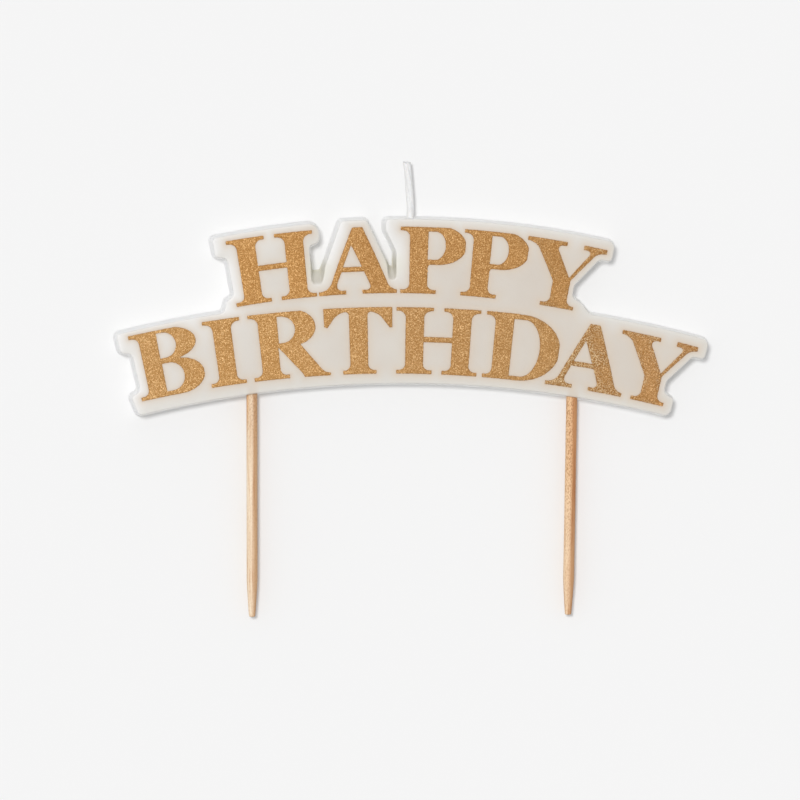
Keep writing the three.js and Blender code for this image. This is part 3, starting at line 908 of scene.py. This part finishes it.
# Painted glow: the wax under and close round the glitter is tinted warm, for light that the wax lets through
letter_edge = np.vstack([loop for loops in letter_outlines for loop in loops])
letter_gaps = nearest(plaque_places, letter_edge[::EDGE_SKIP])
over_letter = np.zeros(len(plaque_places), dtype=bool)
for loops in letter_outlines:
    over_letter |= inside(plaque_places, loops)
GLOW_REACH = 0.85 * MM
letter_glow = np.where(over_letter, 1, np.exp(-letter_gaps / GLOW_REACH))
add_attribute(plaque, "letter_glow", letter_glow * front_share)


# The wick: cotton yarn of three strands, twisted and soaked in wax, so that it stands by itself. It runs down
# inside the plaque, leaves its top edge near the middle and bends a little to the left.
WICK_RADIUS = 1.0 * MM
WICK_EXPOSED = 13.9 * MM
WICK_SWAY = 1.0 * MM
WICK_STRANDS = 3
WICK_PITCH = 9 * MM
WICK_GROOVE = 0.15
WICK_FRAY = 0.55 * MM
WICK_FRAY_LENGTH = 2.4 * MM
WICK_OPENING = 0.14
WICK_SIDES = 36
WICK_STEP = 0.25 * MM
WICK_FIT = 0.98
WICK_LUMPS = 0.03
GROOVE_SHARPNESS = 6
CUT_LENGTH = 0.35 * MM
CUT_LEAST = 0.72
WICK_SHADE = (0.72, 0.72, 0.72, 1)
WICK_LIGHT = (0.90, 0.90, 0.89, 1)
WICK_PATCH = (0.88, 0.875, 0.86, 1)
FIBRE_HEIGHT = 0.04 * MM
WICK_SCATTER = 0.6 * MM

wick_low, wick_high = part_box("wick")
wick_entry = wick_high.z - WICK_EXPOSED


def wick_centre(z):
    share = max(0, (z - wick_entry) / WICK_EXPOSED)
    return Vector((-WICK_SWAY * share ** 2, 0, z))


def round_tube(name, heights, centre, radius, sides):
    """A closed tube of level rings: centre(z) is the middle of a ring, radius(angle, z) its reach."""
    points = [centre(heights[0])]
    for z in heights:
        middle = centre(z)
        for side in range(sides):
            angle = math.tau * side / sides
            reach = radius(angle, z)
            points.append(middle + Vector((reach * math.cos(angle), reach * math.sin(angle), 0)))
    points.append(centre(heights[-1]))
    top = len(points) - 1
    faces = []
    for side in range(sides):
        after = (side + 1) % sides
        faces.append((0, 1 + after, 1 + side))
        faces.append((top, top - sides + side, top - sides + after))
        for ring in range(len(heights) - 1):
            low, high = 1 + ring * sides, 1 + (ring + 1) * sides
            faces.append((low + side, low + after, high + after, high + side))
    mesh = bpy.data.meshes.new(name)
    mesh.from_pydata(points, [], faces)
    mesh.shade_smooth()
    return new_object(name, mesh)


def wick_radius(angle, z):
    twist = math.tau * z / WICK_PITCH
    strand = 1 - WICK_GROOVE * abs(math.cos((WICK_STRANDS * angle + twist) / 2)) ** GROOVE_SHARPNESS
    lumps = 1 + WICK_LUMPS * noise.noise(Vector((math.cos(angle) * 2, math.sin(angle) * 2, z * 700)))
    end = min(1, (wick_high.z - z) / CUT_LENGTH)
    cut = CUT_LEAST + (1 - CUT_LEAST) * math.sqrt(max(0, end))
    loose = max(0, 1 - (wick_high.z - z) / WICK_FRAY_LENGTH)
    opened = 1 + WICK_OPENING * loose * max(0, math.cos(angle))
    return WICK_RADIUS * WICK_FIT * strand * lumps * cut * opened


def wick_material():
    material = bpy.data.materials.new("waxed_cotton")
    graph, surface = node_graph(material)
    place = object_place(graph)
    fibres = noise_output(graph, stretched(graph, place, (1, 1, 0.16)), 5200.0, 3.0, 0.6)
    patches = noise_output(graph, place, 700.0, 2.0)
    colour = mixed(graph, ranged(graph, fibres, 0.3, 0.7), WICK_SHADE, WICK_LIGHT)
    fill_inputs(graph, surface, [
        ("Base Color", mixed(graph, ranged(graph, patches, 0.45, 0.8, 0.0, 0.5), colour, WICK_PATCH)),
        ("Normal", bumped(graph, fibres, FIBRE_HEIGHT, 0.6)), ("Roughness", 0.55),
        ("Subsurface Weight", 0.3), ("Subsurface Radius", (1.0, 0.9, 0.8)),
        ("Subsurface Scale", WICK_SCATTER),
    ])
    return material


wick_heights = list(np.arange(wick_low.z, wick_high.z, WICK_STEP)) + [wick_high.z - 0.08 * MM, wick_high.z]
wick = round_tube("wick_yarn", wick_heights, wick_centre, wick_radius, WICK_SIDES)
for vert in wick.data.vertices:
    loose = max(0, 1 - (wick_high.z - vert.co.z) / WICK_FRAY_LENGTH)
    thread = noise.noise(Vector((vert.co.x * 2100, vert.co.y * 2100, 5.5)))
    vert.co.z -= WICK_FRAY * loose ** 2 * max(0, 0.5 + thread)
wick.data.materials.append(wick_material())
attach(wick, "root")
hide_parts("wick")


# The picks: two turned birch sticks, cast into the bottom edge. Each has a long taper to a blunt tip and has
# shade painted on its right side, away from the lamp. The right one leans by under a degree, with its tip
# inwards, and is more amber, with dark flecks on its left side.
PICK_RADIUS = 1.4 * MM
PICK_TIP_RADIUS = 0.8 * MM
PICK_TIP_ROUND = 0.35 * MM
PICK_TAPER = 9.3 * MM
PICK_BULGE = 0.03 * MM
PICK_SIDES = 48
PICK_STEP = 0.2 * MM
PICK_DEPTH = 18 * MM
PICK_FIBRE = 0.012
PICK_RIPPLE = 0.008
RIGHT_LEAN = math.radians(0.95)
# The heights in millimetres between which a pick's flecks and amber tone grow, and from what share to what
LEFT_FLECKS = (40, 52, 0.20, 0.50)
LEFT_AMBER = (43, 55, 0, 1)
RIGHT_FLECKS = (8, 48, 0.35, 1)
RIGHT_AMBER = (15, 42, 0.42, 0.85)
# How far to the left across a pick, from -1 to 1, the left pick's amber and the right pick's flecks begin and
# are full, and the same to the right for the painted shade
AMBER_SIDE = (0.35, 0.95)
FLECKED_SIDE = (-0.5, 0.0)
SHADED_SIDE = (-0.45, 0.55)


def pick_radius(z):
    """The turned profile: a round tip, a slightly swollen taper and a straight shaft."""
    if z >= PICK_TAPER:
        return PICK_RADIUS
    share = z / PICK_TAPER
    straight = PICK_TIP_RADIUS + (PICK_RADIUS - PICK_TIP_RADIUS) * share
    swell = 4 * PICK_BULGE * share * (1 - share)
    rounding = 1 - math.sqrt(max(0, 1 - (1 - min(1, z / PICK_TIP_ROUND)) ** 2))
    return straight + swell - PICK_TIP_ROUND * rounding


def eased(value, low, high, least=0, most=1):
    share = np.clip((value - low) / (high - low), 0, 1)
    return least + (most - least) * share * share * (3 - 2 * share)


def add_pick(node, lean, seed):
    low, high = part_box(node)
    tip_x = low.x + PICK_RADIUS if lean == 0 else high.x - PICK_RADIUS - math.sin(lean) * high.z

    def centre(z):
        return Vector((tip_x + math.tan(lean) * z, 0, z))

    def radius(angle, z):
        fibre = noise.noise(Vector((math.cos(angle) * 5, math.sin(angle) * 5, z * 60 + seed)))
        ripple = noise.noise(Vector((seed, 3.1, z * 160)))
        return pick_radius(z) * (1 + PICK_FIBRE * fibre + PICK_RIPPLE * ripple)

    tip_rings = [PICK_TIP_ROUND * share for share in (0, 0.04, 0.12, 0.25, 0.45, 0.7, 1)]
    heights = tip_rings + list(np.arange(2 * PICK_TIP_ROUND, high.z, PICK_STEP)) + [high.z]
    pick = round_tube(f"{node}_stick", heights, centre, radius, PICK_SIDES)
    places = np.array([vert.co for vert in pick.data.vertices])
    leftward = (tip_x + math.tan(lean) * places[:, 2] - places[:, 0]) / PICK_RADIUS
    height = places[:, 2] / MM
    if lean == 0:
        flecked = eased(height, *LEFT_FLECKS)
        amber = eased(leftward, *AMBER_SIDE) * eased(height, *LEFT_AMBER)
    else:
        flecked = eased(leftward, *FLECKED_SIDE) * eased(height, *RIGHT_FLECKS)
        amber = eased(height, *RIGHT_AMBER)
    add_attribute(pick, "flecked", flecked)
    add_attribute(pick, "amber", amber)
    # Painted shade: the mask of each pick's right side
    add_attribute(pick, "far_side", eased(-leftward, *SHADED_SIDE))
    return pick


BIRCH_LIGHT = (0.940, 0.780, 0.590, 1)
BIRCH = (0.860, 0.660, 0.460, 1)
BIRCH_DARK = (0.670, 0.415, 0.235, 1)
BIRCH_AMBER = (0.900, 0.675, 0.460, 1)
BIRCH_FLECK = (0.640, 0.520, 0.400, 1)
# Painted shade for a pick's right side
BIRCH_PAINTED_SHADE = (0.660, 0.485, 0.340, 1)
# Where along the grain's pattern each tone of the wood lies
BIRCH_STOPS = [(0.34, BIRCH_DARK), (0.46, BIRCH), (0.60, BIRCH_LIGHT), (0.85, BIRCH_LIGHT)]
BIRCH_GRAIN_HEIGHT = 0.06 * MM


def birch_material():
    material = bpy.data.materials.new("birch")
    graph, surface = node_graph(material)
    place = object_place(graph)
    grain = noise_output(graph, stretched(graph, place, (1, 1, 0.035)), 1500.0, 4.0, 0.6)
    pores = noise_output(graph, stretched(graph, place, (1, 1, 0.10)), 4200.0, 2.0)
    patches = noise_output(graph, place, 160.0, 2.0)
    flecks = noise_output(graph, stretched(graph, place, (1, 1, 0.45), (0, 0.6, 0)), 3600.0, 1.0)
    colour = ramp(graph, grain, BIRCH_STOPS)
    colour = mixed(graph, ranged(graph, pores, 0.58, 0.75, 0.0, 0.25), colour, BIRCH_DARK)
    colour = mixed(graph, ranged(graph, patches, 0.5, 0.75, 0.0, 0.4), colour, BIRCH)
    colour = mixed(graph, attribute(graph, "amber"), colour, BIRCH_AMBER, "MULTIPLY")
    shown = computed(graph, "MULTIPLY", attribute(graph, "flecked"), ranged(graph, flecks, 0.50, 0.58))
    colour = mixed(graph, shown, colour, BIRCH_FLECK, "MULTIPLY")
    # Painted shade darkens each pick's right side
    fill_inputs(graph, surface, [
        ("Base Color", mixed(graph, attribute(graph, "far_side"), colour, BIRCH_PAINTED_SHADE, "MULTIPLY")),
        ("Normal", bumped(graph, grain, BIRCH_GRAIN_HEIGHT, 0.7)), ("Roughness", 0.58),
    ])
    return material


birch = birch_material()
left_pick = add_pick("left_pick", 0, 0.0)
right_pick = add_pick("right_pick", RIGHT_LEAN, 40.0)
for pick, node in ((left_pick, "left_pick"), (right_pick, "right_pick")):
    pick.data.materials.append(birch)
    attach(pick, "root")
    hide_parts(node)

# Where the picks leave the wax, their wood shows through it as a tan patch
PICK_TINT_REACH = 1.3 * MM
PICK_TINT_SHARE = 0.75
pick_tint = np.zeros(len(plaque_places))
for node, lean in (("left_pick", 0), ("right_pick", RIGHT_LEAN)):
    low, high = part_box(node)
    entry_x = high.x - PICK_RADIUS - math.tan(lean) * PICK_DEPTH
    column = np.abs(outline[:, 0] - entry_x) < PICK_RADIUS
    entry_z = outline[column, 1].min()
    sideways = np.exp(-((plaque_places[:, 0] - entry_x) / PICK_RADIUS) ** 4)
    upwards = np.exp(-np.maximum(0, plaque_places[:, 1] - entry_z) / PICK_TINT_REACH)
    pick_tint = np.maximum(pick_tint, PICK_TINT_SHARE * sideways * upwards)
add_attribute(plaque, "pick_tint", pick_tint)


# The stage: a white sheet close behind the candle, which bends forward below it into the floor. The candle's
# shadow falls on it as it would on paper that the candle lies on.
SHEET_GAP = 0.06 * MM
SHEET_HALF_WIDTH = 0.9
SHEET_TOP = 0.75
FLOOR_DROP = -0.09
SWEEP_RADIUS = 0.03
FLOOR_REACH = -6
SWEEP_STEPS = 12
SHEET_WHITE = (0.888, 0.888, 0.888, 1)


def sweep_profile():
    y = back_y + SHEET_GAP
    profile = [(y, SHEET_TOP), (y, FLOOR_DROP + SWEEP_RADIUS)]
    for step in range(1, SWEEP_STEPS + 1):
        turn = math.pi / 2 * step / SWEEP_STEPS
        forward, fallen = 1 - math.cos(turn), 1 - math.sin(turn)
        profile.append((y - SWEEP_RADIUS * forward, FLOOR_DROP + SWEEP_RADIUS * fallen))
    return profile + [(FLOOR_REACH, FLOOR_DROP)]


def sheet_material():
    """Paper for the camera's eye alone, seen from its front. It takes the candle's shadow but casts none."""
    material = bpy.data.materials.new("white_sheet")
    graph, surface = node_graph(material)
    fill_inputs(graph, surface, [
        ("Base Color", SHEET_WHITE), ("Roughness", 1.0), ("Specular IOR Level", 0.0),
    ])
    back = add_node(graph, "ShaderNodeNewGeometry").outputs["Backfacing"]
    seen = add_node(graph, "ShaderNodeLightPath").outputs["Is Camera Ray"]
    shown = computed(graph, "MULTIPLY", seen, computed(graph, "SUBTRACT", 1.0, back))
    clear = add_node(graph, "ShaderNodeBsdfTransparent").outputs[0]
    mix = add_node(graph, "ShaderNodeMixShader", [(0, shown), (1, clear), (2, surface.outputs[0])])
    graph.links.new(mix.outputs[0], graph.nodes["Material Output"].inputs["Surface"])
    return material


sheet_points = [(side * SHEET_HALF_WIDTH, y, z) for y, z in sweep_profile() for side in (-1, 1)]
sheet_faces = [(2 * i, 2 * i + 1, 2 * i + 3, 2 * i + 2) for i in range(len(sheet_points) // 2 - 1)]
sheet_mesh = bpy.data.meshes.new("white_sheet")
sheet_mesh.from_pydata(sheet_points, [], sheet_faces)
sheet_mesh.flip_normals()
sheet_mesh.shade_smooth()
sheet = new_object("white_sheet", sheet_mesh)
sheet_mesh.materials.append(sheet_material())
sheet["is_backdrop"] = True


# The lights: a wide soft lamp in front, a little to the left and above, and a white surround that is brighter
# behind the candle than in front of it
SUN_FROM = Vector((-0.24, -1.0, 0.21))
SUN_STRENGTH = 1.55
SUN_WIDTH = math.radians(12)
BRIGHT_SIDE = Vector((-0.06, 0.99, 0.06))
SURROUND = 0.63
SURROUND_CHANGE = 0.17
BACKGROUND_WHITE = 0.913
WHITE = (1, 1, 1, 1)

sun_data = bpy.data.lights.new("soft_lamp", "SUN")
sun_data.energy = SUN_STRENGTH
sun_data.angle = SUN_WIDTH
sun = new_object("soft_lamp", sun_data)
sun.rotation_euler = (-SUN_FROM).to_track_quat("-Z", "Y").to_euler()

world = bpy.data.worlds.new("surround")
bpy.context.scene.world = world
world.use_nodes = True
sky = world.node_tree
facing = add_node(sky, "ShaderNodeTexCoord").outputs["Generated"]
side = add_node(sky, "ShaderNodeVectorMath", [(0, facing), (1, BRIGHT_SIDE)], operation="DOT_PRODUCT")
weakest, strongest = SURROUND * (1 - SURROUND_CHANGE), SURROUND * (1 + SURROUND_CHANGE)
strength = ranged(sky, side.outputs["Value"], -1, 1, weakest, strongest)
lit = sky.nodes["Background"]
fill_inputs(sky, lit, [("Color", WHITE), ("Strength", strength)])
plain = add_node(sky, "ShaderNodeBackground", [("Color", WHITE), ("Strength", BACKGROUND_WHITE)])
rays = add_node(sky, "ShaderNodeLightPath").outputs
mirrored = computed(sky, "MAXIMUM", rays["Is Camera Ray"], rays["Is Glossy Ray"])
seen = computed(sky, "MAXIMUM", mirrored, rays["Is Transmission Ray"])
both = add_node(sky, "ShaderNodeMixShader", [(0, seen), (1, lit.outputs[0]), (2, plain.outputs[0])])
sky.links.new(both.outputs[0], sky.nodes["World Output"].inputs["Surface"])


# The camera: a long lens, a little to the left and a little above, with the photograph's framing. The
# picture's width and the place of the frame's origin in it are in pixels.
PIXELS_PER_MM = 3.947
PICTURE = 800
ORIGIN_PX = (410.3, 615.7)
AZIMUTH = math.radians(-5.4)
ELEVATION = math.radians(3.0)
CAMERA_DISTANCE = 2.6
SENSOR_WIDTH = 36
FAR_LIMIT = 20

across = Vector((math.cos(AZIMUTH), math.sin(AZIMUTH), 0))
level = math.cos(ELEVATION)
away = Vector((-math.sin(AZIMUTH) * level, math.cos(AZIMUTH) * level, -math.sin(ELEVATION)))
upwards = across.cross(away)
span = PICTURE / PIXELS_PER_MM * MM
centre_right = (PICTURE / 2 - ORIGIN_PX[0]) / PIXELS_PER_MM * MM
centre_up = (ORIGIN_PX[1] - PICTURE / 2) / PIXELS_PER_MM * MM
target = across * centre_right + upwards * centre_up
lens = bpy.data.cameras.new("camera")
lens.sensor_width = SENSOR_WIDTH
lens.lens = SENSOR_WIDTH * CAMERA_DISTANCE / span
lens.clip_end = FAR_LIMIT
camera = new_object("camera", lens)
camera.location = target - away * CAMERA_DISTANCE
camera.rotation_euler = away.to_track_quat("-Z", "Y").to_euler()
bpy.context.scene.camera = camera
bpy.context.scene.view_settings.view_transform = "Standard"

boxes = {"cad": cad_box, "visual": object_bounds()}
{name: [list(corner) for corner in box] for name, box in boxes.items()}
